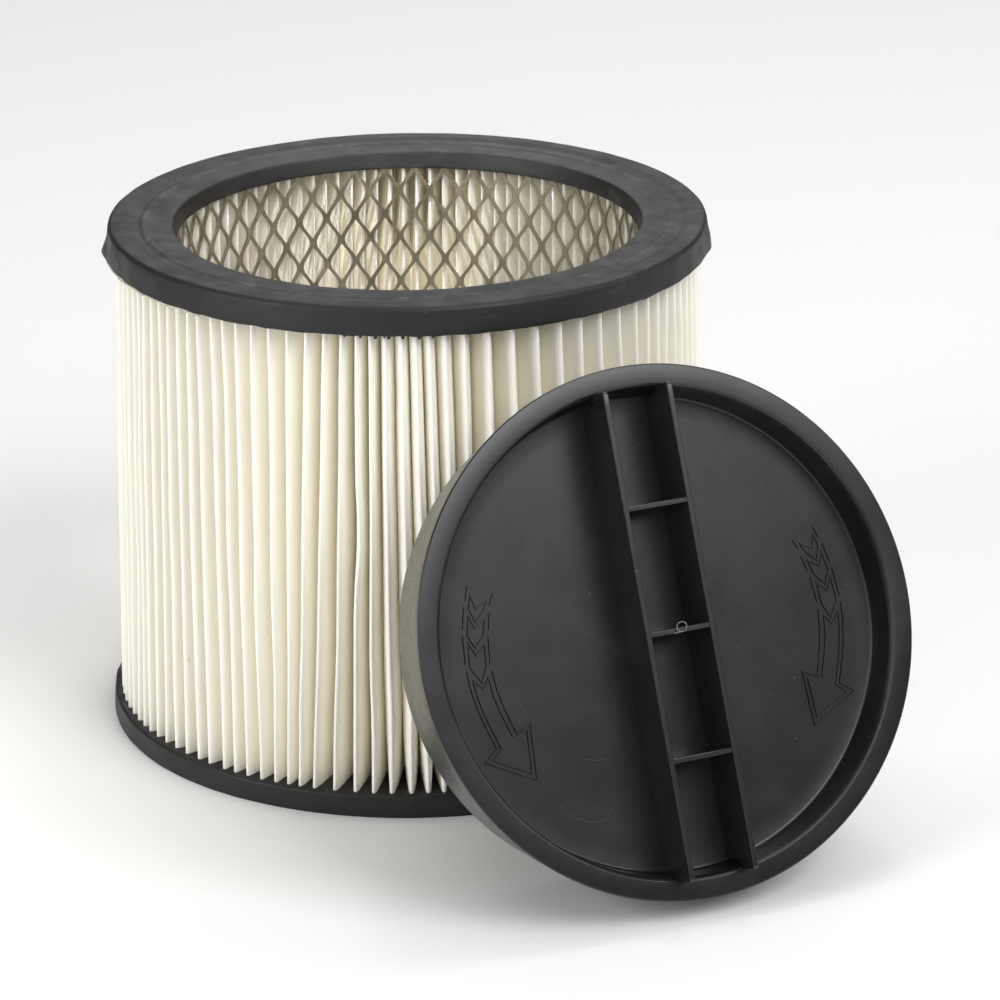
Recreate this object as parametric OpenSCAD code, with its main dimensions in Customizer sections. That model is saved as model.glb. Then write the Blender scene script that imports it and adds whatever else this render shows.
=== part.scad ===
// Pleated cartridge filter for a wet and dry vacuum, with the plug cap that closes its far end.
// The cartridge stands on its wider end ring. The cap leans back against the pleats.
// Units are millimetres. The origin is on the cartridge's axis, on the surface it stands on.

/* [Cartridge] */
// Height over both end rings
filter_h = 168.3; // [150:0.1:190]
// Radius of the hole through both end rings
bore_r = 74.5; // [70:0.5:76]

/* [Top end ring] */
// Outer radius at the ring's lower edge
top_r = 98; // [96:0.5:102]
// Height of the ring at its outer side
top_h = 9; // [8:0.5:14]
// How much the outer side draws in towards the top
top_draft = 1.2; // [0.5:0.1:2]
// Radius of the outer shoulder
shoulder_r = 2.2; // [1:0.1:3]
// Depth of the sealing groove in the top face
groove_d = 0.9; // [0.4:0.1:1.5]
// Drop of the inner band below the outer band
band_drop = 1.3; // [0.5:0.1:2]

/* [Bottom end ring] */
// Outer radius at the surface it stands on
base_r = 101; // [99:0.5:106]
// Height of the ring
base_h = 7.5; // [6:0.5:12]

/* [Pleats] */
// Number of pleats
pleats = 104; // [90:1:106]
// Radius over the pleats' tips where they enter the bottom ring
tip_r_low = 98.2; // [96:0.1:98.5]
// Radius over the pleats' tips where they enter the top ring
tip_r_high = 94.6; // [92:0.1:96]
// Radius of the inner folds
fold_r = 76.2; // [76:0.1:78]
// Thickness of the filter paper
paper_t = 0.8; // [0.6:0.1:1]
// Half width of a rounded tip
tip_w = 0.8; // [0.6:0.1:1.1]
// How far a pleat's sides bow out between its tip and its folds
belly = 0.6; // [0.45:0.01:0.62]

/* [Inner screen] */
// Openings in one row round the screen
screen_cols = 32; // [24:2:36]
// Rows of openings, each half a step from the next
screen_rows = 13; // [9:2:15]
// Width of a strand of expanded metal
strand_w = 1.5; // [1.2:0.1:2.5]
// Thickness of the expanded metal
screen_t = 0.8; // [0.6:0.1:1.2]

/* [Plug cap] */
// Radius of the rim's outer edge
cap_r = 80.8; // [79.8:0.1:82]
// Radius at which the rim turns down into the bowl
lip_r = 73.4; // [73:0.1:74.2]
// How much the bowl's wall draws in towards its floor
wall_in = 1.4; // [1:0.1:2.4]
// Depth of the bowl's floor below the rim
bowl_d = 10.6; // [9:0.2:13]
// Depth of the straight part of the skirt
skirt_d = 34.4; // [30:0.2:38]
// Radius at the end of the straight part of the skirt
skirt_r = 74.1; // [73:0.1:75]
// Depth of the lead-in beyond it
lead_d = 11.6; // [6:0.1:11.6]
// Wall thickness of the moulding
cap_t = 2; // [1.6:0.1:2.2]
// Distance of each grip rib from the middle
rib_x = 10.5; // [9:0.1:13]
// Thickness of a grip rib
rib_t = 1.7; // [1.4:0.1:2.4]
// Height of the grip ribs above the rim
rib_h = 7.8; // [5:0.1:12]
// Distance of the outer cross webs from the middle
web_y = 38; // [30:1:45]
// Thickness of a cross web
web_t = 1.6; // [1:0.1:2.4]

/* [Where the cap leans] */
// How far the cap's face leans back
lean = 23.8; // [20:0.1:28]
// Direction that the cap's face looks in, from straight ahead
facing = 23.4; // [10:0.1:35]
// Sideways place of the middle of the rim's face
cap_x = 79.9; // [70:0.1:90]
// Place of the middle of the rim's face, in front of the cartridge's axis
cap_y = 145.2; // [140:0.1:160]
// How far the cap is turned about its own middle
turned = 0.5; // [-10:0.5:10]

/* [Hidden] */
$fn = 160;
media_h = filter_h - top_h - base_h;
edge_r = 1.6;
round_steps = 5;
rubber = "#343334";
paper = "#e6e0cc";
steel = "#6f6656";
plastic = "#2c2b2d";

// Points along an arc about [x, y], from angle a0 to angle a1
function arc(x, y, r, a0, a1, n = round_steps) =
    [for (i = [0:n]) [x + r * cos(a0 + (a1 - a0) * i / n), y + r * sin(a0 + (a1 - a0) * i / n)]];

// Half of the top ring's section, measured from its top face down
module top_section() {
    side_r = top_r - top_draft;
    low_band = -band_drop;
    polygon(concat(
        [[top_r - 0.5, -top_h], [top_r, -top_h + 0.5]],
        arc(side_r - shoulder_r, -shoulder_r, shoulder_r, 0, 90),
        [[91.2, 0], [90.3, -groove_d], [86.1, -groove_d - 0.1]],
        [[85.7, -groove_d + 0.35], [85.3, -groove_d + 0.35], [84.9, low_band]],
        arc(bore_r + edge_r, low_band - edge_r, edge_r, 90, 180),
        [[bore_r, -top_h]]));
}

module top_end_ring() {
    color(rubber) translate([0, 0, filter_h]) rotate_extrude() top_section();
}

// The bottom ring is wider than the pleats and shows as a ledge round them
module bottom_end_ring() {
    side_r = base_r - 0.7;
    color(rubber) rotate_extrude() polygon(concat(
        [[bore_r, base_h], [bore_r, 0], [base_r - 0.6, 0], [base_r, 0.6]],
        arc(side_r - 0.9, base_h - 0.9, 0.9, 0, 90, 4)));
}

// The pleats are bunched at the front, wider to the right of it and nearly even elsewhere.
// Each pair is a share of all the pleats and the direction reached, from straight ahead
bunching = [[0, -70.2], [0.115, -33.3], [0.169, -12.6], [0.246, 9.8], [0.332, 52], [1, 289.8]];

// Direction of pleat number k, where whole and half numbers are tips and folds
function pleat_angle(k) = lookup(k / pleats, bunching) - 90;

// Points across one pleat of the paper's middle line: over the tip, then round the fold
function pleat_line(k, tip_r) =
    let (
        a = pleat_angle(k),
        b = pleat_angle(k + 0.5),
        c = pleat_angle(k + 1),
        belly_r = fold_r + (tip_r - fold_r) * 0.58,
        tip_a = tip_w / tip_r * 180 / PI,
        fold_a = 0.6 / fold_r * 180 / PI
    )
    [
        [tip_r - 1.1, a - tip_a], [tip_r, a - tip_a * 0.45],
        [tip_r, a + tip_a * 0.45], [tip_r - 1.1, a + tip_a],
        [belly_r, a + (b - a) * belly],
        [fold_r + 0.6, b - fold_a], [fold_r + 0.6, b + fold_a],
        [belly_r, c - (c - b) * belly]
    ];

function paper_line(tip_r) =
    [for (k = [0:pleats - 1]) for (p = pleat_line(k, tip_r)) [p[0] * cos(p[1]), p[0] * sin(p[1])]];

function unit(v) = v / norm(v);

// A closed line moved sideways by d, with mitred corners
function shifted(line, d) =
    let (n = len(line))
    [for (i = [0:n - 1])
        let (
            u = unit(line[i] - line[(i + n - 1) % n]),
            w = unit(line[(i + 1) % n] - line[i]),
            side = unit([u[1] + w[1], -u[0] - w[0]]),
            reach = max(0.45, side * [w[1], -w[0]])
        )
        line[i] + side * d / reach];

// The paper is one strip, folded to and fro between the screen and the outside
module pleated_media() {
    low = paper_line(tip_r_low - paper_t / 2);
    high = paper_line(tip_r_high - paper_t / 2);
    n = len(low);
    half = paper_t / 2;
    rings = [shifted(low, half), shifted(low, -half), shifted(high, half), shifted(high, -half)];
    z = [base_h, base_h, base_h + media_h, base_h + media_h];
    points = [for (r = [0:3]) for (p = rings[r]) [p[0], p[1], z[r]]];
    // Corner i of ring r, going round without an end
    function at(r, i) = r * n + i % n;
    faces = [for (i = [0:n - 1]) each [
        [at(0, i), at(2, i), at(2, i + 1), at(0, i + 1)],
        [at(1, i), at(1, i + 1), at(3, i + 1), at(3, i)],
        [at(0, i), at(0, i + 1), at(1, i + 1), at(1, i)],
        [at(2, i), at(3, i), at(3, i + 1), at(2, i + 1)]
    ]];
    color(paper) polyhedron(points, faces);
}

// One opening of the screen, as a short prism that runs outwards through the wall
module opening(w, h) {
    rotate([90, 0, 90]) translate([0, 0, bore_r - 2]) linear_extrude(6)
        polygon([[-w / 2, 0], [0, -h / 2], [w / 2, 0], [0, h / 2]]);
}

// Expanded metal rolled into a tube. The rows stand half a step apart
module inner_screen() {
    r_out = bore_r + 0.1 + screen_t;
    pitch = 2 * PI * r_out / screen_cols;
    row_h = media_h / (screen_rows + 1);
    lean_share = norm([pitch, 2 * row_h]);
    gap_w = pitch - strand_w * lean_share / (2 * row_h);
    gap_h = 2 * row_h - strand_w * lean_share / pitch;
    color(steel) difference() {
        translate([0, 0, base_h]) difference() {
            cylinder(r = r_out, h = media_h);
            translate([0, 0, -1]) cylinder(r = r_out - screen_t, h = media_h + 2);
        }
        for (row = [1:screen_rows])
            for (col = [0:screen_cols - 1])
                translate([0, 0, base_h + row * row_h])
                    rotate([0, 0, (col + row % 2 / 2) * 360 / screen_cols])
                        opening(gap_w, gap_h);
    }
}

// Half of the cap's section. The rim's face is at height 0 and the plug points down
module cap_section() {
    bend_r = 1;
    bend_x = lip_r - wall_in - bend_r;
    floor_y = -bowl_d;
    lead_r = skirt_r - lead_d * tan(lean);
    under_y = -2.8;
    polygon(concat(
        [[0, floor_y]],
        arc(bend_x, floor_y + bend_r, bend_r, -90, -10, 3),
        arc(lip_r + 0.7, -0.7, 0.7, 170, 90, 3),
        arc(cap_r - 0.6, -0.6, 0.6, 90, 0, 3),
        [[skirt_r, -skirt_d], [lead_r, -skirt_d - lead_d], [lead_r - cap_t, -skirt_d - lead_d]],
        [[skirt_r - cap_t - 0.2, -skirt_d], [cap_r - cap_t - 0.6, under_y]],
        [[lip_r + cap_t - 0.2, under_y]],
        arc(bend_x, floor_y + bend_r, bend_r + cap_t, -10, -90, 3),
        [[0, floor_y - cap_t]]));
}

// A grip rib runs right across the bowl and stands over the lip at both ends
module grip_rib() {
    half = sqrt(pow(lip_r + 0.8, 2) - pow(rib_x, 2));
    translate([-rib_t / 2, 0, 0]) rotate([90, 0, 90]) linear_extrude(rib_t) polygon(concat(
        [[1.8 - half, -bowl_d - 0.5], [half - 1.8, -bowl_d - 0.5], [half, -0.5]],
        arc(half - 1, rib_h - 1, 1, 0, 90, 3),
        arc(1 - half, rib_h - 1, 1, 90, 180, 3),
        [[-half, -0.5]]));
}

module cross_web() {
    translate([-rib_x, -web_t / 2, -bowl_d - 0.5])
        cube([2 * rib_x, web_t, bowl_d + rib_h + 0.1]);
}

module plug_cap() {
    rise = skirt_d * sin(lean) + skirt_r * cos(lean);
    color(plastic) translate([cap_x, -cap_y, rise]) rotate([90 - lean, 0, facing]) rotate([0, 0, turned]) {
        rotate_extrude() cap_section();
        for (x = [-rib_x, rib_x])
            translate([x, 0, 0]) grip_rib();
        for (y = [-web_y, 0, web_y])
            translate([0, y, 0]) cross_web();
    }
}

top_end_ring();
bottom_end_ring();
pleated_media();
inner_screen();
plug_cap();
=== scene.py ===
"""Looks of a pleated cartridge filter and its plug cap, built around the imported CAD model.

Sizes here are in millimetres until a mesh is made. Blender's unit is the metre. Azimuth is
measured from the front (-Y), positive towards +X.
"""
import math

import bmesh
import bpy
import numpy as np
from mathutils import Matrix, Vector

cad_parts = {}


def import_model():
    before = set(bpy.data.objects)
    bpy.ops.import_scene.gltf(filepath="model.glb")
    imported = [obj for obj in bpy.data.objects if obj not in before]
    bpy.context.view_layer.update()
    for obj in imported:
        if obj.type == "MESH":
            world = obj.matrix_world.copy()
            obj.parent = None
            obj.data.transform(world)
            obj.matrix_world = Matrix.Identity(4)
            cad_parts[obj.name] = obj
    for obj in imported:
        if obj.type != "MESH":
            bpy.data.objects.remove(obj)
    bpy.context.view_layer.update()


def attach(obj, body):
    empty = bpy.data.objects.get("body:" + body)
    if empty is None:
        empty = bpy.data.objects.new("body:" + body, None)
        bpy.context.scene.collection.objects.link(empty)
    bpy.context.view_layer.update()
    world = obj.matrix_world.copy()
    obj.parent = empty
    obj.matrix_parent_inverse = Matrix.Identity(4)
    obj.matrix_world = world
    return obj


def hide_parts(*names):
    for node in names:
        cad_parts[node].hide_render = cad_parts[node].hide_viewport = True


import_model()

MM = 0.001

# Sizes shared with the CAD. R is a radius, H a height, D a depth and T a thickness.
HEIGHT = 168.3
BORE_R = 74.5
TOP_R, TOP_H, TOP_DRAFT = 98.0, 9.0, 1.2
# The upper ring's band round the hole hangs down this far
BAND_D = 6.6
BASE_R, BASE_H = 101.0, 7.5
PLEATS = 104
# Radius of the pleats' tips at the lower and the upper ring, and of their inner folds
TIP_LOW, TIP_HIGH = 98.2, 94.6
FOLD_R = 76.2
# Each pair is a pleat's number and its azimuth at the top, in degrees
BUNCHING = ((0, -70.2), (12, -33.3), (17.6, -12.6), (25.6, 9.8), (34.5, 52.0), (104, 289.8))
# Drift of the tips on their way down: degrees, the azimuth that drifts most, and its width
DRIFT = ((1.5, -40, 12), (-3.1, -15, 7.5), (1.3, 6, 7), (1.6, 26, 12), (-1.5, 110, 20),
         (1.8, 200, 25))
# The cap, which leans back on the cartridge and stands on its skirt
LEAN, FACING, SPIN = math.radians(23.8), math.radians(23.4), math.radians(0.5)
CAP_X, CAP_Y = 79.9, -145.2
CAP_R, LIP_R, FOOT_R, BOWL_D = 80.8, 73.4, 72.0, 10.6
SKIRT_D, SKIRT_R, LEAD_D, CAP_T = 34.4, 74.1, 11.6, 2.0
CAP_RISE = SKIRT_D * math.sin(LEAN) + SKIRT_R * math.cos(LEAN)
CAP_PLACE = (Matrix.Translation((CAP_X, CAP_Y, CAP_RISE))
             @ Matrix.Rotation(FACING, 4, "Z") @ Matrix.Rotation(math.pi / 2 - LEAN, 4, "X")
             @ Matrix.Rotation(SPIN, 4, "Z"))


# Small tools

def waves(x, seed, turns, size):
    """A smooth wavy line over degrees x that closes on itself after a full turn."""
    rng = np.random.default_rng(seed)
    total = np.zeros_like(np.asarray(x, float))
    for n in turns:
        total += rng.uniform(0.5, 1.0) * np.sin(np.radians(x) * n + rng.uniform(0, 2 * math.pi))
    return size * total / math.sqrt(len(turns))


def hump(x, middle, width):
    """1 at the middle, falling smoothly to 0 on both sides."""
    return np.exp(-((np.asarray(x, float) - middle) / width) ** 2)


def rounded(corners, steps=5):
    """A closed outline from (x, y, radius) corners, with each corner turned into an arc."""
    nearly_straight = math.pi / 2 - 0.02
    out = []
    n = len(corners)
    for i, (x, y, radius) in enumerate(corners):
        here = Vector((x, y))
        if radius <= 0:
            out.append((x, y))
            continue
        back = Vector(corners[i - 1][:2]) - here
        on = Vector(corners[(i + 1) % n][:2]) - here
        half = back.angle(on) / 2
        if half > nearly_straight:
            out.append((x, y))
            continue
        reach = min(radius / math.tan(half), 0.49 * back.length, 0.49 * on.length)
        radius = reach * math.tan(half)
        back.normalize()
        on.normalize()
        middle = here + (back + on).normalized() * (radius / math.sin(half))
        start, end = here + back * reach - middle, here + on * reach - middle
        turn = -start.angle_signed(end)
        for k in range(steps + 1):
            a = turn * k / steps
            out.append((middle.x + start.x * math.cos(a) - start.y * math.sin(a),
                        middle.y + start.x * math.sin(a) + start.y * math.cos(a)))
    return out


def refined(outline, longest):
    """The outline with extra points, so that no step is longer than longest."""
    out = []
    for i, (x, y) in enumerate(outline):
        x2, y2 = outline[(i + 1) % len(outline)]
        n = max(1, math.ceil(math.hypot(x2 - x, y2 - y) / longest))
        out += [(x + (x2 - x) * k / n, y + (y2 - y) * k / n) for k in range(n)]
    return out


def revolved(outline, segments, warp, closed=True):
    """Corners and faces of an outline (radius, height) turned about the Z axis.

    warp takes azimuth, radius and height, and gives the new radius and height.
    """
    az = np.linspace(-180, 180, segments, endpoint=False)[:, None]
    outline = np.array(outline)
    r = np.repeat(outline[None, :, 0], segments, 0)
    z = np.repeat(outline[None, :, 1], segments, 0)
    r, z = warp(az, r, z)
    a = np.radians(az - 90)
    points = np.stack([r * np.cos(a), r * np.sin(a), z], -1).reshape(-1, 3)
    k = len(outline)
    faces = []
    for i in range(segments):
        j = (i + 1) % segments
        for m in range(k if closed else k - 1):
            q = (m + 1) % k
            faces.append((i * k + m, j * k + m, j * k + q, i * k + q))
    return points, faces


def joined(parts):
    """One list of corners and one of faces from several."""
    points, faces, base = [], [], 0
    for p, f in parts:
        points.append(np.asarray(p, float))
        faces += [tuple(i + base for i in face) for face in f]
        base += len(p)
    return np.concatenate(points), faces


def placed(name, data):
    """A new object of this data, in the scene."""
    obj = bpy.data.objects.new(name, data)
    bpy.context.scene.collection.objects.link(obj)
    return obj


def piece(name, points, faces, material, slot, node=None, place=None, sharp=40, marks=None):
    """A mesh piece that rides on the body, from corners in millimetres.

    slot, the record's material slot, is not used; node is the CAD node that the piece stands for,
    place a matrix, sharp the angle in degrees past which an edge stays sharp, and marks named
    values for the corners that a material reads.
    """
    merge = 0.0005
    mesh = bpy.data.meshes.new(name)
    mesh.from_pydata(np.asarray(points, float).tolist(), [], faces)
    for key, values in (marks or {}).items():
        mark = mesh.attributes.new(key, "FLOAT", "POINT")
        mark.data.foreach_set("value", np.asarray(values, "f"))
    work = bmesh.new()
    work.from_mesh(mesh)
    bmesh.ops.remove_doubles(work, verts=work.verts, dist=merge)
    bmesh.ops.delete(work, geom=[v for v in work.verts if not v.link_faces], context="VERTS")
    bmesh.ops.recalc_face_normals(work, faces=work.faces)
    work.to_mesh(mesh)
    work.free()
    mesh.transform(Matrix.Scale(MM, 4) @ (place or Matrix.Identity(4)))
    mesh.shade_smooth()
    if sharp:
        mesh.set_sharp_from_angle(angle=math.radians(sharp))
    mesh.materials.append(material)
    obj = placed(name, mesh)
    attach(obj, "root")
    if node:
        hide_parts(node)
    return obj


# Materials

class Shader:
    """A material's nodes, wired with few words."""

    def __init__(self, name, color, roughness, specular=0.5, metallic=0.0):
        self.material = bpy.data.materials.new(name)
        self.material.use_nodes = True
        self.tree = self.material.node_tree
        self.main = self.tree.nodes["Principled BSDF"]
        self.main.inputs["Base Color"].default_value = (*color, 1)
        self.main.inputs["Roughness"].default_value = roughness
        self.main.inputs["Specular IOR Level"].default_value = specular
        self.main.inputs["Metallic"].default_value = metallic
        self.place = self.tree.nodes.new("ShaderNodeTexCoord").outputs["Object"]

    def link(self, a, b):
        self.tree.links.new(a, b)

    def stretched(self, x, y, z):
        """The object's coordinates, scaled along each axis."""
        node = self.tree.nodes.new("ShaderNodeMapping")
        node.inputs["Scale"].default_value = (x, y, z)
        self.link(self.place, node.inputs["Vector"])
        return node.outputs["Vector"]

    def noise(self, scale, detail=4.0, rough=0.55, place=None, distortion=0.0):
        node = self.tree.nodes.new("ShaderNodeTexNoise")
        node.inputs["Scale"].default_value = scale
        node.inputs["Detail"].default_value = detail
        node.inputs["Roughness"].default_value = rough
        node.inputs["Distortion"].default_value = distortion
        self.link(place or self.place, node.inputs["Vector"])
        return node.outputs["Fac"]

    def attribute(self, name):
        """A value that the mesh carries at its corners, or 0 where it carries none."""
        node = self.tree.nodes.new("ShaderNodeAttribute")
        node.attribute_name = name
        return node.outputs["Fac"]

    def span(self, value, low, high, out_low=0.0, out_high=1.0):
        """The value from low to high, smoothed and brought to out_low to out_high."""
        node = self.tree.nodes.new("ShaderNodeMapRange")
        node.interpolation_type = "SMOOTHSTEP"
        self.link(value, node.inputs["Value"])
        for key, v in (("From Min", low), ("From Max", high),
                       ("To Min", out_low), ("To Max", out_high)):
            node.inputs[key].default_value = v
        return node.outputs["Result"]

    def math(self, kind, a, b):
        node = self.tree.nodes.new("ShaderNodeMath")
        node.operation = kind
        for i, v in enumerate((a, b)):
            if isinstance(v, (int, float)):
                node.inputs[i].default_value = v
            else:
                self.link(v, node.inputs[i])
        return node.outputs[0]

    def mix(self, share, a, b):
        """Colour a where share is 0, b where it is 1, each three numbers or a socket."""
        node = self.tree.nodes.new("ShaderNodeMix")
        node.data_type = "RGBA"
        self.link(share, node.inputs["Factor"])
        first_color, second_color, mixed_color = 6, 7, 2
        for key, v in ((first_color, a), (second_color, b)):
            if isinstance(v, tuple):
                node.inputs[key].default_value = (*v, 1)
            else:
                self.link(v, node.inputs[key])
        return node.outputs[mixed_color]

    def color(self, socket):
        self.link(socket, self.main.inputs["Base Color"])

    def roughness(self, socket):
        self.link(socket, self.main.inputs["Roughness"])

    def bump(self, height, depth_mm, strength):
        """Adds a bump to those that the material already has."""
        node = self.tree.nodes.new("ShaderNodeBump")
        node.inputs["Strength"].default_value = strength
        node.inputs["Distance"].default_value = depth_mm * MM
        self.link(height, node.inputs["Height"])
        if self.main.inputs["Normal"].is_linked:
            self.link(self.main.inputs["Normal"].links[0].from_socket, node.inputs["Normal"])
        self.link(node.outputs["Normal"], self.main.inputs["Normal"])


def paper_material():
    """Cream filter paper: fibres, a painted highlight along its folds, a few flecks, and light that
    soaks in.
    """
    s = Shader("filter_paper", (0.88, 0.855, 0.74), 0.88, specular=0.25)
    cloud = s.span(s.noise(14, 3), 0.35, 0.7)
    base = s.mix(cloud, (0.955, 0.926, 0.832), (0.962, 0.937, 0.852))
    fibre = s.span(s.noise(1500, 5, 0.7), 0.35, 0.75)
    base = s.mix(s.math("MULTIPLY", fibre, 0.25), base, (0.93, 0.893, 0.775))
    # Painted highlight: where the mesh marks a fold, the colour goes towards a paler cream, as if
    # light caught it
    edge = s.attribute("tip")
    base = s.mix(s.math("MULTIPLY", edge, 0.6), base, (0.975, 0.96, 0.90))
    fleck = s.span(s.noise(260, 2), 0.74, 0.78)
    base = s.mix(s.math("MULTIPLY", fleck, 0.25), base, (0.45, 0.40, 0.28))
    s.color(base)
    s.main.inputs["Subsurface Weight"].default_value = 0.25
    s.main.inputs["Subsurface Radius"].default_value = (1.0, 0.97, 0.86)
    s.main.inputs["Subsurface Scale"].default_value = 0.0009
    s.bump(s.noise(900, 6, 0.7), 0.06, 0.6)
    s.bump(s.noise(60, 3, 0.5, s.stretched(1, 1, 0.25)), 0.25, 0.5)
    return s.material


def rubber_material():
    """Dull black rubber with pale smears, specks and a painted highlight along the upper ring's
    ridge.
    """
    s = Shader("ring_rubber", (0.013, 0.013, 0.013), 0.5, specular=0.40)
    cloud = s.span(s.noise(22, 5, 0.6), 0.3, 0.75)
    base = s.mix(cloud, (0.0098, 0.0095, 0.0096), (0.0136, 0.0132, 0.0130))
    smear = s.span(s.noise(38, 6, 0.65, s.stretched(1, 1, 2.5), 0.6), 0.56, 0.74)
    base = s.mix(s.math("MULTIPLY", smear, 0.3), base, (0.075, 0.073, 0.070))
    # Painted highlight along the ridge's crest, where the mesh marks it, broken up by noise
    painted_ridge_highlight = s.math("MULTIPLY", s.attribute("painted_ridge_highlight"),
                   s.span(s.noise(240, 5, 0.65), 0.4, 0.62, 0.0, 0.8))
    base = s.mix(painted_ridge_highlight, base, (0.095, 0.093, 0.090))
    speck = s.span(s.noise(520, 2), 0.76, 0.79)
    base = s.mix(s.math("MULTIPLY", speck, 0.6), base, (0.20, 0.19, 0.17))
    s.color(base)
    s.roughness(s.span(s.noise(90, 6, 0.65), 0.3, 0.75, 0.42, 0.62))
    s.bump(s.noise(1400, 4, 0.6), 0.03, 0.6)
    s.bump(s.noise(120, 4, 0.55), 0.12, 0.5)
    return s.material


def steel_material():
    """Brownish dull steel."""
    s = Shader("screen_steel", (0.28, 0.25, 0.18), 0.42, metallic=0.5)
    s.color(s.mix(s.span(s.noise(160, 5), 0.3, 0.75), (0.205, 0.178, 0.115), (0.30, 0.268, 0.195)))
    s.roughness(s.span(s.noise(300, 4), 0.3, 0.7, 0.35, 0.6))
    s.bump(s.noise(1200, 4), 0.03, 0.6)
    return s.material


def plastic_material():
    """Black plastic with a soft gloss, thin dust and specks."""
    s = Shader("cap_plastic", (0.008, 0.008, 0.008), 0.4, specular=0.5)
    cloud = s.span(s.noise(17, 4, 0.6), 0.3, 0.75)
    base = s.mix(cloud, (0.0064, 0.0063, 0.0066), (0.0104, 0.0102, 0.0105))
    dust = s.span(s.noise(46, 3, 0.5, None, 0.3), 0.50, 0.82)
    base = s.mix(s.math("MULTIPLY", dust, 0.15), base, (0.06, 0.06, 0.058))
    speck = s.span(s.noise(640, 2), 0.77, 0.80)
    base = s.mix(s.math("MULTIPLY", speck, 0.5), base, (0.22, 0.21, 0.20))
    s.color(base)
    s.roughness(s.span(s.noise(40, 5, 0.6), 0.3, 0.75, 0.26, 0.32))
    s.bump(s.noise(2200, 3, 0.6), 0.012, 0.6)
    s.bump(s.noise(30, 3, 0.5), 0.25, 0.35)
    return s.material


def scuff_material(name, color):
    """A plain rough material, mottled from its colour to a paler one."""
    s = Shader(name, color, 0.55, specular=0.4)
    paler = tuple(min(1.0, 1.6 * c) for c in color)
    s.color(s.mix(s.span(s.noise(400, 4), 0.35, 0.7), color, paler))
    s.bump(s.noise(1500, 3), 0.02, 0.5)
    return s.material


# Pleats

def pleat_azimuth(k, z):
    """Where pleat k's tip stands at height z. k may be an array, whole or not."""
    nodes = np.array(BUNCHING)
    turn = np.floor(k / PLEATS)
    az = np.interp(k - turn * PLEATS, nodes[:, 0], nodes[:, 1]) + 360 * turn
    drift_top, drift_length = 152, 140
    down = np.clip((drift_top - z) / drift_length, -0.05, 1.05)
    return az + down * sum(size * hump(az, middle, width) for size, middle, width in DRIFT)


def released(z, low, low_reach, high, high_reach):
    """How far height z is from what holds the paper: 0 at low and high, 1 past their reach."""
    return np.clip(min((z - low) / low_reach, (high - z) / high_reach), 0, 1)


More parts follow.
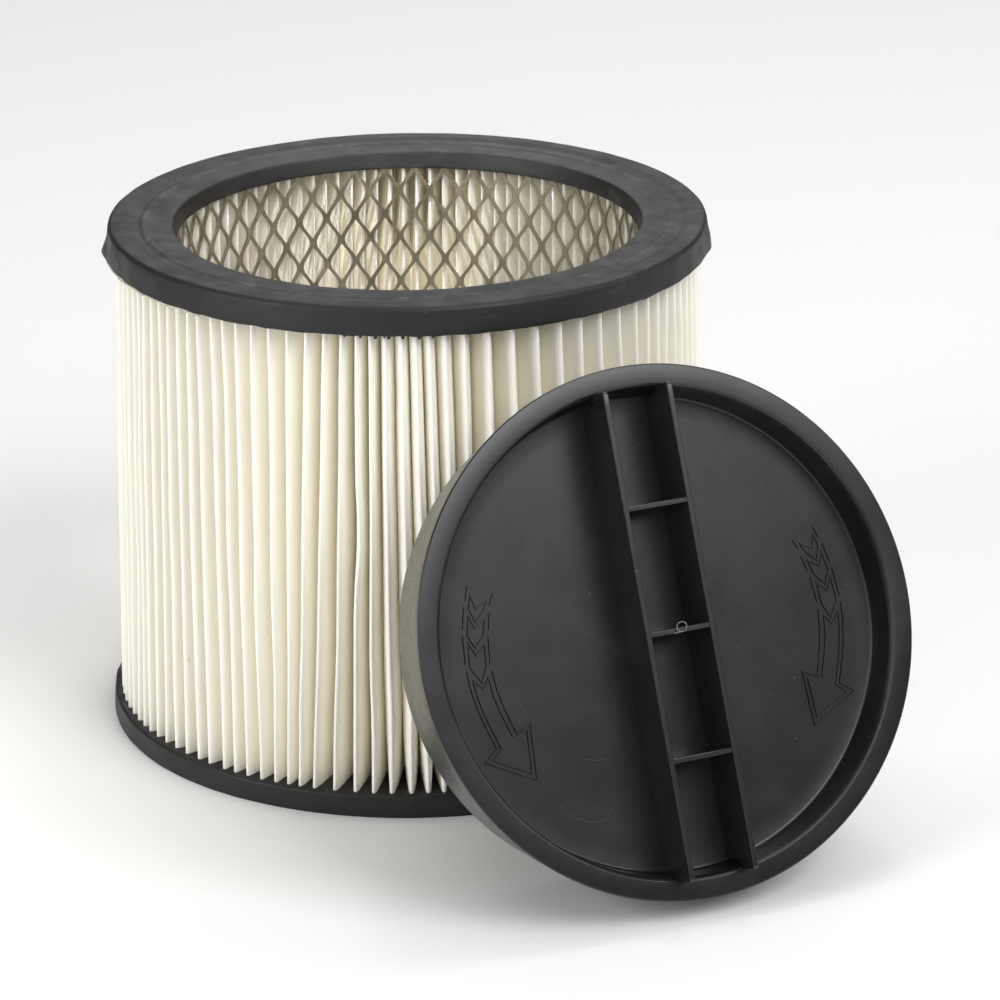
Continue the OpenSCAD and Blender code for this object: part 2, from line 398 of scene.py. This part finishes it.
def pleats():
    """The paper: one strip folded to and fro, with a real thickness.

    Between the rings the sides close on each other some way in. At the lower ring they run
    straighter, so the valleys there are deep.
    """
    rng = np.random.default_rng(11)
    thick = 0.5
    # Heights of the sections, which stand closer near the rings
    rows = np.array([5.5, 7.4, 9.4, 12, 15.5, 20, 26, 34, 44, 55, 66, 77, 88, 99, 110, 121, 131,
                     140, 147.5, 153, 157, 160, 163])
    # Half the gap between two sheets at the foot of a valley: between the rings, and in a ring
    slit, ring_slit = 0.28, 0.42
    # Depth at which the sides meet, and how much less it is at the narrow pleats in front
    meet_depth, front_less = 17.5, 12.8
    # Place across the tip, drop below its top, and share of the painted highlight there
    tip_profile = ((-0.38, 0.36, 0.1), (-0.20, 0.09, 0.7), (0, 0, 1),
                   (0.20, 0.09, 0.7), (0.38, 0.36, 0.1))
    tip_half = 0.44
    # Half the width of an inner fold, and how far its sides stand out from its middle
    inner_half, inner_rise = 0.3, 0.22
    k = np.arange(-1, PLEATS + 1)
    n = len(k)
    # Each pleat's own unevenness: azimuth, tip radius, waves, and one kink
    shift = rng.normal(0, 0.16, PLEATS)
    reach = rng.normal(0, 0.22, PLEATS)
    phase = np.cumsum(rng.normal(0, 0.9, (3, PLEATS)), 1)
    kink_z = 85 + 50 * np.sin(np.cumsum(rng.normal(0, 0.7, PLEATS)))
    kink = rng.normal(0, 0.30, PLEATS)
    fullness = rng.uniform(0.85, 1.15, PLEATS)
    wrap = k % PLEATS
    lines, tips = [], []
    for z in rows:
        free = released(z, 6, 25, 162, 25)
        closed = 1 - (1 - released(z, 7, 30, 172, 16)) ** 2
        az = pleat_azimuth(k.astype(float), z) + shift[wrap]
        az = az + free * (0.10 * np.sin(z / 24 + phase[0][wrap])
                          + 0.05 * np.sin(z / 11 + phase[1][wrap]))
        az = az + free * kink[wrap] * hump(z, kink_z[wrap], 12)
        tip_r = (TIP_LOW + (TIP_HIGH - TIP_LOW) * (z - BASE_H) / (HEIGHT - TOP_H - BASE_H)
                 + reach[wrap] * free + 0.10 * free * np.sin(z / 13 + phase[2][wrap]))
        fold = (az[:-1] + az[1:]) / 2
        ring, mark = [], []
        for i in range(1, n - 1):
            half_l = math.radians(az[i] - fold[i - 1])
            half_r = math.radians(fold[i] - az[i])
            top = tip_r[i] - thick / 2
            deep = top - FOLD_R - 0.3
            meet = (meet_depth - front_less * hump(az[i], 3, 12)) * fullness[wrap[i]]

            def flank(depth, half):
                """Radius and angle from the tip of a point this deep on a side."""
                r = top - depth
                start = half * top - tip_half
                bowed = slit + (start - slit) * max(0.0, 1 - depth / meet) ** 1.05
                straight = ring_slit + (start - ring_slit) * (1 - depth / deep) ** 1.4
                gap = closed * bowed + (1 - closed) * straight
                return r, half - min(gap / r, half * 0.97)

            depths = (1.0, 3.2, 7.0, 0.55 * deep, 0.8 * deep, 0.955 * deep)
            section = []
            for depth in reversed(depths):
                r, a = flank(depth, half_l)
                section.append((r, math.radians(az[i]) - a, 0.0))
            section += [(top - drop, math.radians(az[i]) + across / top, painted_highlight)
                        for across, drop, painted_highlight in tip_profile]
            for depth in depths:
                r, a = flank(depth, half_r)
                section.append((r, math.radians(az[i]) + a, 0.0))
            f = math.radians(fold[i])
            # The middle of each inner fold gets a little painted highlight as well
            section += [(FOLD_R + inner_rise, f - inner_half / FOLD_R, 0), (FOLD_R, f, 0.2),
                        (FOLD_R + inner_rise, f + inner_half / FOLD_R, 0)]
            for r, a, m in section:
                ring.append((r * math.cos(a - math.pi / 2), r * math.sin(a - math.pi / 2)))
                mark.append(m)
        # The two faces of the paper stand half its thickness to each side of the section
        ring = np.array(ring)
        before, after = ring - np.roll(ring, 1, 0), np.roll(ring, -1, 0) - ring
        before /= np.linalg.norm(before, axis=1)[:, None]
        after /= np.linalg.norm(after, axis=1)[:, None]
        side = before + after
        side = np.stack([side[:, 1], -side[:, 0]], 1)
        side /= np.linalg.norm(side, axis=1)[:, None]
        stretch = np.clip((side * np.stack([after[:, 1], -after[:, 0]], 1)).sum(1), 0.6, 1)[:, None]
        for s in (1, -1):
            moved = ring + s * side * thick / 2 / stretch
            lines.append(np.c_[moved, np.full(len(ring), z)])
            tips.append(mark)
    m = len(lines[0])
    i = np.arange(m)
    j = (i + 1) % m
    faces = []
    for row in range(len(rows) - 1):
        lo, hi = 2 * row * m, 2 * (row + 1) * m
        faces += np.stack([lo + i, lo + j, hi + j, hi + i], 1).tolist()
        faces += np.stack([lo + m + i, hi + m + i, hi + m + j, lo + m + j], 1).tolist()
    end = 2 * (len(rows) - 1) * m
    faces += np.stack([i, m + i, m + j, j], 1).tolist()
    faces += np.stack([end + i, end + j, end + m + j, end + m + i], 1).tolist()
    # The tip values give each corner's share of painted highlight
    piece("pleated_paper", np.concatenate(lines), faces, PAPER, "filter_paper",
          node="pleated_media", sharp=70, marks={"tip": np.concatenate(tips)})


# End rings

def drop_of_rubber(az, size):
    """A small bead under the upper ring's lower edge, size mm in radius."""
    a = math.radians(az - 90)
    r, turns, rows, stretch = TOP_R - 0.4, 10, 6, 1.3
    middle = Vector((r * math.cos(a), r * math.sin(a), HEIGHT - TOP_H - 0.1))
    points, faces = [], []
    for i in range(rows + 1):
        tilt = math.pi * i / rows
        for k in range(turns):
            turn = 2 * math.pi * k / turns
            across = size * math.sin(tilt)
            point = middle + Vector((across * math.cos(turn), across * math.sin(turn),
                                     -stretch * size * math.cos(tilt)))
            points.append(tuple(point))
    for i in range(rows):
        for k in range(turns):
            q = (k + 1) % turns
            faces.append((i * turns + k, i * turns + q, (i + 1) * turns + q, (i + 1) * turns + k))
    return points, faces


def top_ring():
    """The upper ring: an outer band, a soft groove, a low ridge and an inner band."""
    top = HEIGHT
    side, ridge_r = TOP_R - TOP_DRAFT, 85.4
    outline = rounded([
        (TOP_R - 0.1, -TOP_H, 0.5), (side, 0, 1.7), (91.2, 0, 3.0), (88.9, -0.7, 1.5),
        (86.9, -0.75, 1.0), (ridge_r, -0.35, 0.8), (83.6, -0.85, 1.2), (BORE_R + 1.3, -1.0, 0.9),
        (BORE_R, -BAND_D, 0.5), (94.0, -BAND_D, 0), (94.8, -TOP_H, 0.3)])
    outline = [(r, z + top) for r, z in refined(outline, 2.2)]

    def warp(az, r, z):
        # The lower edge is ragged
        low = np.clip((top - 6.8 - z) / 2.2, 0, 1) * np.clip((r - 92) / 3, 0, 1)
        ragged = (waves(az, 3, (2, 5, 9), 0.18) + waves(az, 4, (31, 47, 66, 90), 0.11)
                  - np.abs(waves(az, 5, (101, 127), 0.12)))
        z = z + low * ragged
        # The side is slightly out of round, with a torn lip at the left and a bulge at the right
        outer = np.clip((r - 94) / 3, 0, 1)
        r = r + outer * (waves(az, 6, (2, 3, 5), 0.16) + waves(az, 7, (17, 29, 38), 0.07))
        lip = hump(az, -84, 4.5) * np.clip((top - 5 - z) / 3, 0, 1) * outer
        r = r + 1.3 * lip
        bulge = hump(az, 84, 3.5) * np.clip((top - 2 - z) / 2.5, 0, 1) * outer
        r = r + 0.9 * bulge
        # The top isn't quite flat
        flat = np.clip((z - top + 2) / 1.0, 0, 1)
        z = z + flat * (waves(az, 8, (3, 7, 11), 0.06) + waves(az + r, 9, (23, 41), 0.025))
        return r, z

    parts = [revolved(outline, 540, warp)]
    # Azimuth and radius of each drop
    drops = ((-10.4, 0.35), (-7.5, 0.45), (-4.8, 0.6), (-3.25, 0.35), (-2.4, 0.6), (0.1, 0.6),
             (3.0, 0.65), (5.5, 0.45))
    parts += [drop_of_rubber(az, size) for az, size in drops]
    points, faces = joined(parts)
    # The ridge's crest gets a painted highlight, broken up in places
    az = np.degrees(np.arctan2(points[:, 0], -points[:, 1]))
    r = np.hypot(points[:, 0], points[:, 1])
    painted_ridge_highlight = hump(r, ridge_r, 1.1) * (points[:, 2] > top - 1.5)
    painted_ridge_highlight = painted_ridge_highlight * np.clip(0.5 + waves(az, 43, (19, 37, 53, 88), 0.5), 0, 1)
    piece("upper_ring", points, faces, RUBBER, "ring_rubber", node="top_end_ring", sharp=55,
          marks={"painted_ridge_highlight": painted_ridge_highlight})


def bottom_ring():
    """The lower ring: a plain flat band with a ragged upper edge."""
    outline = rounded([
        (BORE_R, BASE_H, 0.4), (BORE_R, 0, 0.3), (BASE_R - 0.2, 0, 0.6),
        (BASE_R - 0.6, BASE_H, 0.9)])
    outline = refined(outline, 2.0)

    def warp(az, r, z):
        # The upper edge is ragged
        upper = np.clip((z - BASE_H + 1.5) / 1.5, 0, 1)
        ragged = waves(az, 13, (3, 7, 12), 0.16) + waves(az + 2 * r, 14, (37, 61, 83), 0.10)
        z = z + upper * ragged
        # The side is slightly out of round, with a thin fin at the left
        outer = np.clip((r - 98) / 2, 0, 1)
        r = r + outer * (waves(az, 15, (2, 4, 7), 0.12) + waves(az, 16, (21, 33, 52), 0.06))
        fin = hump(az, -88, 3.2) * np.clip((r - 98.8) / 1.5, 0, 1) * upper
        z = z + 4.5 * fin
        r = r - 0.8 * fin
        return r, z

    points, faces = revolved(outline, 540, warp)
    piece("lower_ring", points, faces, RUBBER, "ring_rubber", node="bottom_end_ring", sharp=55)


# Screen

def screen():
    """Expanded metal: rows of diamonds, with each strand set at a slant."""
    columns, rows = 46, 22
    middle_r, thick = 75.05, 0.55
    step = 2 * math.pi / columns
    # Half the width and height of a diamond over its strands' middles, and of its hole
    half_w, half_h = step * middle_r / 2, 8.045
    hole_w, hole_h = half_w - 1.18, half_h - 1.38
    # The tube is turned and raised so that its crossings stand as in the photo's hole, where
    # the middles of seen_row, counted from 0, are at seen_z
    turned = -0.0125
    seen_row, seen_z = 19, 154.0
    z0 = seen_z - seen_row * half_h
    slant, slant_reach = 0.08, 2.2
    # A quarter of a hole and of a diamond, as shares of their half width and height
    hole_quarter = [(0.0, 1.0), (0.25, 0.79), (0.52, 0.57), (0.80, 0.34), (0.95, 0.16)]
    rim_quarter = [(0.0, 1.0), (0.25, 0.75), (0.5, 0.5), (0.75, 0.25), (0.93, 0.07)]

    def around(quarter, w, h):
        one = [(x * w, y * h) for x, y in quarter] + [(w, 0.0)]
        two = one + [(x, -y) for x, y in reversed(one[:-1])]
        return two + [(-x, y) for x, y in reversed(two[1:-1])]

    hole, rim = around(hole_quarter, hole_w, hole_h), around(rim_quarter, half_w, half_h)
    m = len(hole)
    parts = []
    for row in range(rows):
        for col in range(columns):
            ring = []
            for line, tilt in ((rim, 0.0), (hole, slant)):
                for face in (-1, 1):
                    for x, y in line:
                        push = -tilt * max(-1.0, min(1.0, y / slant_reach))
                        r = middle_r + push + face * thick / 2
                        a = (col + (row % 2) / 2) * step + x / middle_r + turned
                        ring.append((r * math.cos(a), r * math.sin(a), z0 + row * half_h + y))
            faces = []
            for i in range(m):
                j = (i + 1) % m
                a, b, c, d = 0, m, 2 * m, 3 * m
                faces += [(a + i, a + j, c + j, c + i), (b + j, b + i, d + i, d + j),
                          (c + i, c + j, d + j, d + i)]
            parts.append((ring, faces))
    points, faces = joined(parts)
    # It ends inside both rings
    lowest, highest = 2, HEIGHT - BAND_D + 0.4
    keep = (points[:, 2] > lowest) & (points[:, 2] < highest)
    faces = [f for f in faces if all(keep[i] for i in f)]
    piece("expanded_screen", points, faces, STEEL, "screen_steel", node="inner_screen", sharp=50)


# Cap

def cap_shell():
    """Corners and faces of the bowl, rim and skirt, in the cap's own frame."""
    lead_r = SKIRT_R - LEAD_D * math.tan(LEAN)
    lead_end = -SKIRT_D - LEAD_D
    inside, rim_under = CAP_R - CAP_T - 0.6, -2.8
    floor = -BOWL_D
    # From the bowl's middle out over the rim, down the skirt, and back along the inside
    outline = rounded([
        (0, floor, 0), (FOOT_R, floor, 0.8), (LIP_R, -1.45, 0.3), (LIP_R + 0.65, -0.35, 0.35),
        (LIP_R + 1.3, 0, 0.4), (CAP_R, 0, 0.55), (SKIRT_R, -SKIRT_D, 0.8), (lead_r, lead_end, 0.5),
        (lead_r - CAP_T, lead_end, 0.5), (SKIRT_R - CAP_T - 0.2, -SKIRT_D, 1.0),
        (inside, rim_under, 0.6), (LIP_R + 1.8, rim_under, 0.6), (FOOT_R + 1.8, floor - CAP_T, 1.6),
        (0, floor - CAP_T, 0)], 6)
    outline = refined(outline, 6.0)
    cut = outline.index((0, floor - CAP_T))
    outline = outline[:cut + 1]

    def warp(az, r, z):
        return r + np.clip((r - 60) / 20, 0, 1) * waves(az, 22, (2, 3), 0.05), z

    return revolved(outline, 360, warp, closed=False)


def slab(outline, thick, axis):
    """A plate of an outline, thick across axis 0 or 1, in the cap's own frame."""
    n = len(outline)
    points = []
    for s in (-thick / 2, thick / 2):
        points += [((s, y, z) if axis == 0 else (y, s, z)) for y, z in outline]
    faces = [tuple(range(n)), tuple(range(2 * n - 1, n - 1, -1))]
    faces += [(i, n + i, n + (i + 1) % n, (i + 1) % n) for i in range(n)]
    return points, faces


def cap():
    """The cap: its shell, two grip ribs, three webs between them and two arrows."""
    piece("cap_shell", *cap_shell(), PLASTIC, "cap_plastic", node="plug_cap", place=CAP_PLACE,
          sharp=50)
    rib_x, rib_h, rib_t = 10.5, 7.8, 1.7
    web_t, web_step = 1.6, 38
    root = -BOWL_D - 0.6
    half = math.sqrt((LIP_R + 1.0) ** 2 - rib_x ** 2)
    for name, x in (("left", -rib_x), ("right", rib_x)):
        outline = rounded([(1.9 - half, root, 0), (half - 1.9, root, 0), (half, -0.7, 0.3),
                           (half, rib_h, 1.2), (-half - 0.5, rib_h, 1.2), (-half - 0.5, -0.7, 0.3)])
        outline = refined(outline, 3)
        points, faces = slab(outline, rib_t, 0)
        points = [(px + x, py, pz) for px, py, pz in points]
        rib = piece("grip_rib_" + name, points, faces, PLASTIC, "cap_plastic", place=CAP_PLACE,
                    sharp=30)
        soften(rib, 0.35)
    for name, y in (("upper", web_step), ("middle", 0), ("lower", -web_step)):
        w, top = rib_x + 0.1, rib_h - 0.4
        points, faces = slab([(-w, root), (w, root), (w, top), (-w, top)], web_t, 1)
        points = [(px, py + y, pz) for px, py, pz in points]
        web = piece("cross_web_" + name, points, faces, PLASTIC, "cap_plastic", place=CAP_PLACE,
                    sharp=30)
        soften(web, 0.3)
    arrow("arrow_left", -1)
    arrow("arrow_right", 1)


def ridge(line, width, height, closed=False):
    """A low line on the bowl's floor that follows points in the cap's own frame."""
    # Half the width at its foot and at its crest, as shares of the width, and the foot's height
    foot, crest, root = 0.5, 0.28, -0.1
    line = [Vector(p) for p in line]
    n = len(line)
    points, faces = [], []
    for i, here in enumerate(line):
        back = line[i - 1] if i or closed else here
        on = line[(i + 1) % n] if i < n - 1 or closed else here
        a, b = here - back, on - here
        a = a.normalized() if a.length else b.normalized()
        b = b.normalized() if b.length else a
        side = Vector((-(a.y + b.y), a.x + b.x)).normalized()
        side = side / max(0.5, side.dot(Vector((-b.y, b.x))))
        for across, up in ((-foot, root), (-crest, height), (crest, height), (foot, root)):
            q = here + side * across * width
            points.append((q.x, q.y, -BOWL_D + up))
    for i in range(n if closed else n - 1):
        j = (i + 1) % n
        for k in range(4):
            faces.append((i * 4 + k, j * 4 + k, j * 4 + (k + 1) % 4, i * 4 + (k + 1) % 4))
    if not closed:
        faces += [(0, 1, 2, 3), (4 * n - 1, 4 * n - 2, 4 * n - 3, 4 * n - 4)]
    return points, faces


def arrow(name, side):
    """A turning arrow, moulded as thin lines. The right one is drawn; side -1 mirrors it."""
    lines = [
        # Dashes beside the tail, outer then inner
        ((57.6, 23.8), (58.9, 20.0)), ((59.8, 18.0), (61.3, 11.9)), ((61.7, 9.9), (62.5, 1.2)),
        ((50.1, 20.5), (51.6, 17.4)), ((52.0, 15.2), (53.3, 10.3)), ((53.8, 8.1), (54.7, 0.2)),
        # Shaft and head
        ((62.5, -1.0), (62.2, -6.3), (61.2, -12.2), (59.8, -17.5), (57.3, -25.1), (61.7, -28.4),
         (46.5, -36.4), (45.5, -19.7), (50.2, -21.8), (51.3, -18.5), (52.9, -12.8), (54.0, -7.6),
         (54.5, -2.0)),
        # Second outlines
        ((56.0, -3.9), (55.5, -9.3), (54.1, -15.0), (51.7, -22.4)),
        ((61.0, -3.8), (60.6, -8.4), (59.2, -15.0), (55.9, -25.4), (59.1, -28.2), (47.7, -34.1),
         (46.9, -21.6)),
        ((61.0, -3.6), (58.2, -6.9), (56.0, -3.7))]
    # Three chevrons: outer end, outer side, point, inner side, inner end, notch
    chevrons = [
        ((57.3, 21.0), (58.4, 17.4), (57.0, 13.1), (53.8, 16.1), (52.3, 18.8), (56.1, 16.9)),
        ((59.0, 15.1), (60.3, 9.6), (58.4, 5.5), (55.2, 9.0), (54.0, 13.4), (57.6, 11.2)),
        ((60.5, 7.3), (61.3, 0.1), (58.3, -5.0), (56.0, -0.2), (55.6, 6.0), (58.7, 3.3))]
    line_w, chevron_w, height = 0.6, 0.55, 0.5
    parts = [ridge([(side * x, y) for x, y in line], line_w, height) for line in lines]
    parts += [ridge([(side * x, y) for x, y in line], chevron_w, height, closed=True)
              for line in chevrons]
    piece(name, *joined(parts), PLASTIC, "cap_plastic", place=CAP_PLACE, sharp=30)


def thread(path, radius):
    """A thin round strand along points, closed at both ends."""
    sides = 6
    path = [Vector(p) for p in path]
    n = len(path)
    points, faces = [], []
    for i, here in enumerate(path):
        along = (path[min(i + 1, n - 1)] - path[max(i - 1, 0)]).normalized()
        side = along.cross(Vector((0, 0.1, 1))).normalized()
        up = side.cross(along)
        for k in range(sides):
            a = 2 * math.pi * k / sides
            points.append(here + radius * (side * math.cos(a) + up * math.sin(a)))
    for i in range(n - 1):
        for k in range(sides):
            q = (k + 1) % sides
            faces.append((i * sides + k, i * sides + q, (i + 1) * sides + q, (i + 1) * sides + k))
    faces += [tuple(range(sides - 1, -1, -1)), tuple(range((n - 1) * sides, n * sides))]
    return [tuple(p) for p in points], faces


def wear():
    """Scratches on the bowl's floor, a moulding curl on a web, and glue under the upper ring."""
    scratches = [
        ((21.4, 56.2), (21.9, 57.8), (23.4, 59.6), (25.8, 61.0), (28.2, 61.8)),
        ((-41.0, -45.0), (-37.0, -49.5), (-32.0, -52.0), (-27.5, -52.0), (-24.5, -49.5)),
        ((-24.0, 3.2), (-21.8, 3.8), (-19.3, 2.7)), ((-30.0, -33.0), (-26.5, -34.2), (-23.5, -33.8)),
        ((-48.5, -12.0), (-46.0, -16.5)), ((33.0, -24.0), (34.5, -25.2)),
        ((5.2, -4.6), (6.3, -5.4), (6.0, -6.2))]
    parts = [ridge(line, 0.22, 0.07) for line in scratches]
    piece("floor_scratches", *joined(parts),
          scuff_material("scuffed_plastic", (0.045, 0.044, 0.043)), "cap_plastic",
          place=CAP_PLACE, sharp=30)
    turns = [math.radians(a) for a in range(-60, 331, 26)]
    curl = [(-2.2, -0.7, 7.5)]
    curl += [(0.2 + 1.7 * math.cos(a), 0.9 + 1.5 * math.sin(a), 7.9 + 0.7 * math.sin(a / 2 + 0.5))
             for a in turns]
    piece("moulding_curl", *thread(curl, 0.13), scuff_material("curl_plastic", (0.16, 0.155, 0.15)),
          "cap_plastic", place=CAP_PLACE, sharp=None)
    flash = []
    for az in np.arange(-82, -39.5, 1.0):
        a = math.radians(az - 90)
        r = TOP_R - 0.15 + float(waves(az, 41, (40, 63), 0.12))
        z = HEIGHT - TOP_H - 0.1 + float(waves(az, 42, (25, 44, 71), 0.18))
        flash.append((r * math.cos(a), r * math.sin(a), z))
    piece("glue_flash", *thread(flash, 0.3), scuff_material("dried_glue", (0.42, 0.39, 0.31)),
          "ring_rubber", sharp=None)


def soften(obj, width_mm):
    """Rounds the edges of a piece."""
    bevel = obj.modifiers.new("edges", "BEVEL")
    bevel.width = width_mm * MM
    bevel.segments = 3
    bevel.limit_method = "ANGLE"
    bevel.angle_limit = math.radians(40)


# Scene

def camera():
    """The camera, fitted to the ellipses of both rings and of the hole."""
    down, roll = math.radians(20.76), math.radians(0.49)
    data = bpy.data.cameras.new("camera")
    data.lens = 155.1
    data.sensor_width = 36.0
    obj = placed("camera", data)
    obj.matrix_world = (Matrix.Translation((0.02920, -1.3367, 0.5758))
                        @ Matrix.Rotation(math.pi / 2 - down, 4, "X")
                        @ Matrix.Rotation(-roll, 4, "Z"))
    data.clip_end = 60
    bpy.context.scene.camera = obj


def lamp(name, place, aim, size, power, spread=180):
    """A square lamp, size in metres, power in watts and spread in degrees."""
    data = bpy.data.lights.new(name, "AREA")
    data.shape = "SQUARE"
    data.size = size
    data.spread = math.radians(spread)
    data.energy = power
    obj = placed(name, data)
    obj.location = place
    obj.rotation_euler = (Vector(aim) - Vector(place)).to_track_quat("-Z", "Y").to_euler()


def floor():
    """A pale floor, a little paler towards the back: painted light that makes up for the lamps'
    falloff there.
    """
    mesh = bpy.data.meshes.new("floor")
    far = 9
    corners = [(-far, -far, 0), (far, -far, 0), (far, far, 0), (-far, far, 0)]
    mesh.from_pydata(corners, [], [(0, 1, 2, 3)])
    s = Shader("floor", (0.86, 0.86, 0.86), 0.9, specular=0.1)
    split = s.tree.nodes.new("ShaderNodeSeparateXYZ")
    s.link(s.place, split.inputs[0])
    # Painted light: paler towards the back, where the lamps give less light
    back = s.span(split.outputs["Y"], -0.45, 0.8)
    s.color(s.mix(back, (0.87, 0.87, 0.87), (0.885, 0.885, 0.885)))
    mesh.materials.append(s.material)
    placed("floor", mesh)


def world(strength):
    """An even white surround."""
    scene = bpy.context.scene
    scene.world = bpy.data.worlds.new("studio")
    scene.world.use_nodes = True
    back = scene.world.node_tree.nodes["Background"]
    back.inputs["Color"].default_value = (1.0, 1.0, 1.0, 1)
    back.inputs["Strength"].default_value = strength


PAPER, RUBBER = paper_material(), rubber_material()
STEEL, PLASTIC = steel_material(), plastic_material()
camera()
floor()
world(0.12)
# Soft lamps round the object, in metres and watts
for name, place, size, power in (
        ("overhead", (0.0, 0.2, 2.1), 2.4, 15.5), ("front", (0.3, -2.0, 1.4), 1.6, 10.9),
        ("right_front", (1.3, -1.3, 1.7), 1.3, 33.3), ("left_front", (-1.7, -1.2, 0.9), 1.2, 25.5),
        ("right", (2.1, 0.2, 1.1), 1.3, 7.0), ("back", (0.2, 1.9, 1.5), 1.8, 11.7),
        ("highlight", (0.2, 0.35, 1.7), 0.3, 2.2)):
    lamp(name, place, (0, 0, 0.1), size, power)
# A narrow one for the folds that show through the hole
lamp("inside", (0.0, -0.9, 1.9), (0, 0.06, 0.155), 0.06, 0.09, spread=6)
pleats()
top_ring()
bottom_ring()
screen()
cap()
wear()

bpy.context.scene.view_settings.view_transform = "Standard"
# Light goes to and fro many times in the deep valleys of pale paper
bpy.context.scene.cycles.diffuse_bounces = 9
